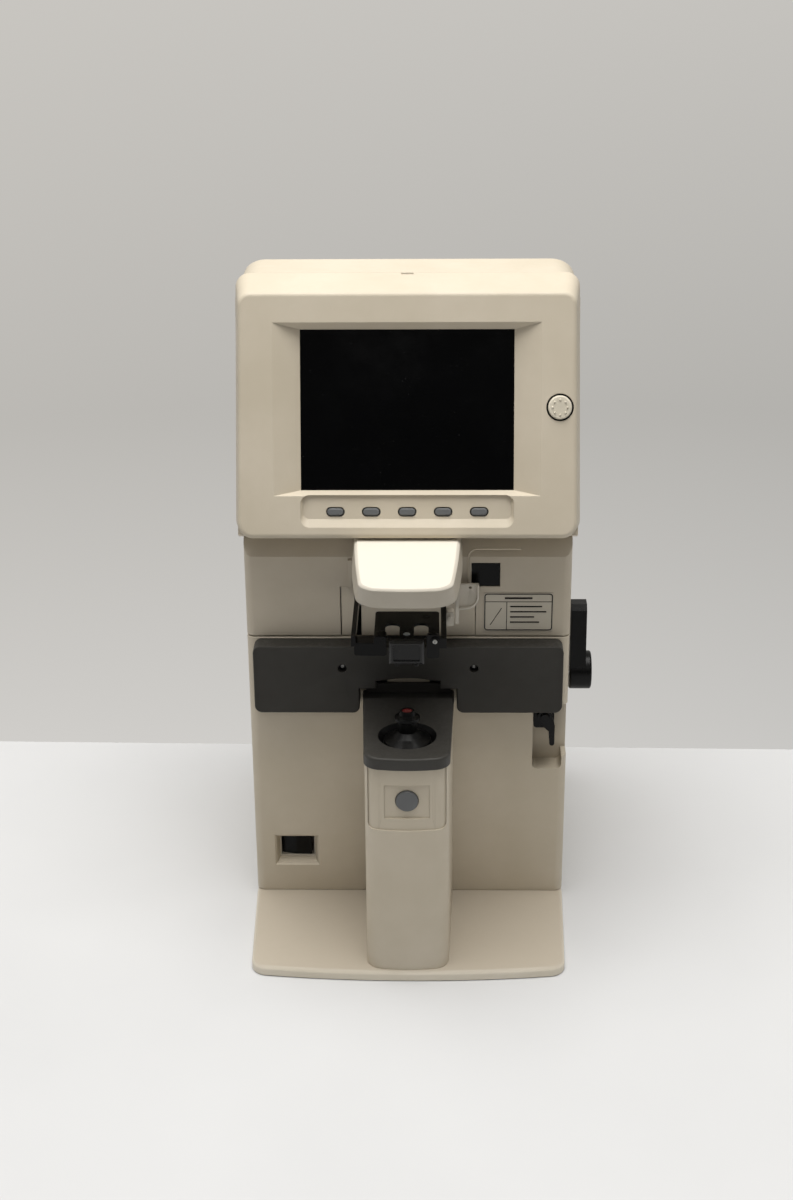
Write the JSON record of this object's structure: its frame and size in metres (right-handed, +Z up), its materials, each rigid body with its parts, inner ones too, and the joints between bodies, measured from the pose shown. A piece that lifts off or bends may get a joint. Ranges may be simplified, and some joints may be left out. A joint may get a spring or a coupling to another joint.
{
  "type": "lensmeter",
  "caption": "Table-top automatic lensmeter with a tilted screen head, sliding lens table, hand lever, lens presser and measuring column.",
  "frame": {"origin": "where the vertical measuring axis of the nosepiece meets the table top", "axes": "+X to the right as the user sees it, +Y to the back, +Z up"},
  "size_m": [0.209, 0.266, 0.3859],
  "materials": {
    "ivory_cover": "fine moulded texture",
    "cream_nose": "fine moulded texture",
    "dark_grey_plastic": "fine moulded texture",
    "black_plastic": "satin",
    "black_gloss": "gloss",
    "key_grey": "satin",
    "light_grey_plastic": "satin",
    "zinc_steel": "zinc plated",
    "bright_steel": "ground and polished",
    "bronze": "turned",
    "foot_rubber": "matt",
    "circuit_board": "solder resist",
    "screen_glass": "polished, nearly black when off",
    "clear_glass": "polished",
    "red_glass": "polished",
    "label_film": "printed film, blank",
    "white_acetal": "machined"
  },
  "bodies": {
    "housing": {"base_cover": "ivory_cover", "base_pan": "zinc_steel", "rubber_feet": "foot_rubber", "foot_screws": "zinc_steel", "chassis_frame": "zinc_steel", "lower_body_cover": "ivory_cover", "upper_body_cover": "ivory_cover", "centre_panel": "ivory_cover", "sensor_window": "black_gloss", "blank_label": "label_film", "rear_cover": "ivory_cover", "rear_cover_screws": "zinc_steel", "head_bezel": "ivory_cover", "head_rear_cover": "ivory_cover", "screen_window": "screen_glass", "lcd_panel": "black_plastic", "key_board": "circuit_board", "knob_potentiometer": "black_plastic", "nose_cover": "cream_nose", "nose_arm": "zinc_steel", "emitter_housing": "black_plastic", "collimator_lens": "clear_glass", "presser_guides": "bright_steel", "marker_bracket": "light_grey_plastic", "guide_bushes": "bronze", "lock_hub": "black_plastic", "column_cover": "ivory_cover", "column_cap": "dark_grey_plastic", "nosepiece": "black_plastic", "nosepiece_window": "red_glass", "measure_switch": "circuit_board", "receiver_barrel": "black_plastic", "sensor_board": "circuit_board", "power_switch_body": "light_grey_plastic", "main_board": "circuit_board", "power_supply": "zinc_steel", "power_inlet": "black_plastic", "serial_port": "bright_steel"},
    "table": {"lens_table": "dark_grey_plastic", "table_screws": "black_plastic", "table_rods": "bright_steel", "table_rack": "zinc_steel"},
    "lever": {"table_lever": "black_plastic", "lever_shaft": "bright_steel", "lever_pinion": "bronze"},
    "presser": {"presser_frame": "black_gloss", "presser_carriage": "white_acetal", "presser_block": "black_plastic", "presser_tips": "foot_rubber"},
    "marker": {"marker_arm": "black_plastic", "marker_clamp": "light_grey_plastic"},
    "lock": {"lock_lever": "black_plastic"},
    "knob": {"contrast_knob": "cream_nose"},
    "button": {"measure_button": "key_grey"},
    "rocker": {"power_rocker": "black_gloss"},
    "key_1": {"function_key_1": "key_grey"},
    "key_2": {"function_key_2": "key_grey"},
    "key_3": {"function_key_3": "key_grey"},
    "key_4": {"function_key_4": "key_grey"},
    "key_5": {"function_key_5": "key_grey"}
  },
  "joints": [
    {"name": "table_slide", "type": "slide", "parent": "housing", "child": "table", "axis": [0, -1, 0], "range_m": [0, 0.028]},
    {"name": "table_lever_turn", "type": "hinge", "parent": "housing", "child": "lever", "pos_m": [0.066, 0.088, 0.1448], "axis": [1, 0, 0], "range_deg": [0, 101]},
    {"name": "presser_slide", "type": "slide", "parent": "housing", "child": "presser", "axis": [0, 0, -1], "range_m": [0, 0.023]},
    {"name": "marker_swing", "type": "hinge", "parent": "housing", "child": "marker", "pos_m": [0.024, 0.05, 0.2093], "axis": [1, 0, 0], "range_deg": [0, 12]},
    {"name": "lock_lever_turn", "type": "hinge", "parent": "housing", "child": "lock", "pos_m": [0.0817, 0.0632, 0.1256], "axis": [0, -1, 0], "range_deg": [0, 45]},
    {"name": "contrast_knob_turn", "type": "hinge", "parent": "housing", "child": "knob", "pos_m": [0.0851, 0.05779, 0.32049], "axis": [0, -0.9588, 0.284], "range_deg": [-150, 150]},
    {"name": "measure_button_push", "type": "slide", "parent": "housing", "child": "button", "axis": [0, 1, 0], "range_m": [0, 0.0015], "stiffness_N_per_m": 400, "springref_m": -0.0005},
    {"name": "power_rocker_tilt", "type": "hinge", "parent": "housing", "child": "rocker", "pos_m": [-0.0693, 0.069, 0.0351], "axis": [0, 0, 1], "range_deg": [0, 16]},
    {"name": "function_key_1_push", "type": "slide", "parent": "housing", "child": "key_1", "axis": [0, 0.9588, -0.284], "range_m": [0, 0.0015], "stiffness_N_per_m": 300, "springref_m": -0.0005},
    {"name": "function_key_2_push", "type": "slide", "parent": "housing", "child": "key_2", "axis": [0, 0.9588, -0.284], "range_m": [0, 0.0015], "stiffness_N_per_m": 300, "springref_m": -0.0005},
    {"name": "function_key_3_push", "type": "slide", "parent": "housing", "child": "key_3", "axis": [0, 0.9588, -0.284], "range_m": [0, 0.0015], "stiffness_N_per_m": 300, "springref_m": -0.0005},
    {"name": "function_key_4_push", "type": "slide", "parent": "housing", "child": "key_4", "axis": [0, 0.9588, -0.284], "range_m": [0, 0.0015], "stiffness_N_per_m": 300, "springref_m": -0.0005},
    {"name": "function_key_5_push", "type": "slide", "parent": "housing", "child": "key_5", "axis": [0, 0.9588, -0.284], "range_m": [0, 0.0015], "stiffness_N_per_m": 300, "springref_m": -0.0005}
  ],
  "couplings": [
    {"joint": "table_lever_turn", "follows": "table_slide", "rad_per_m": 62.5}
  ]
}
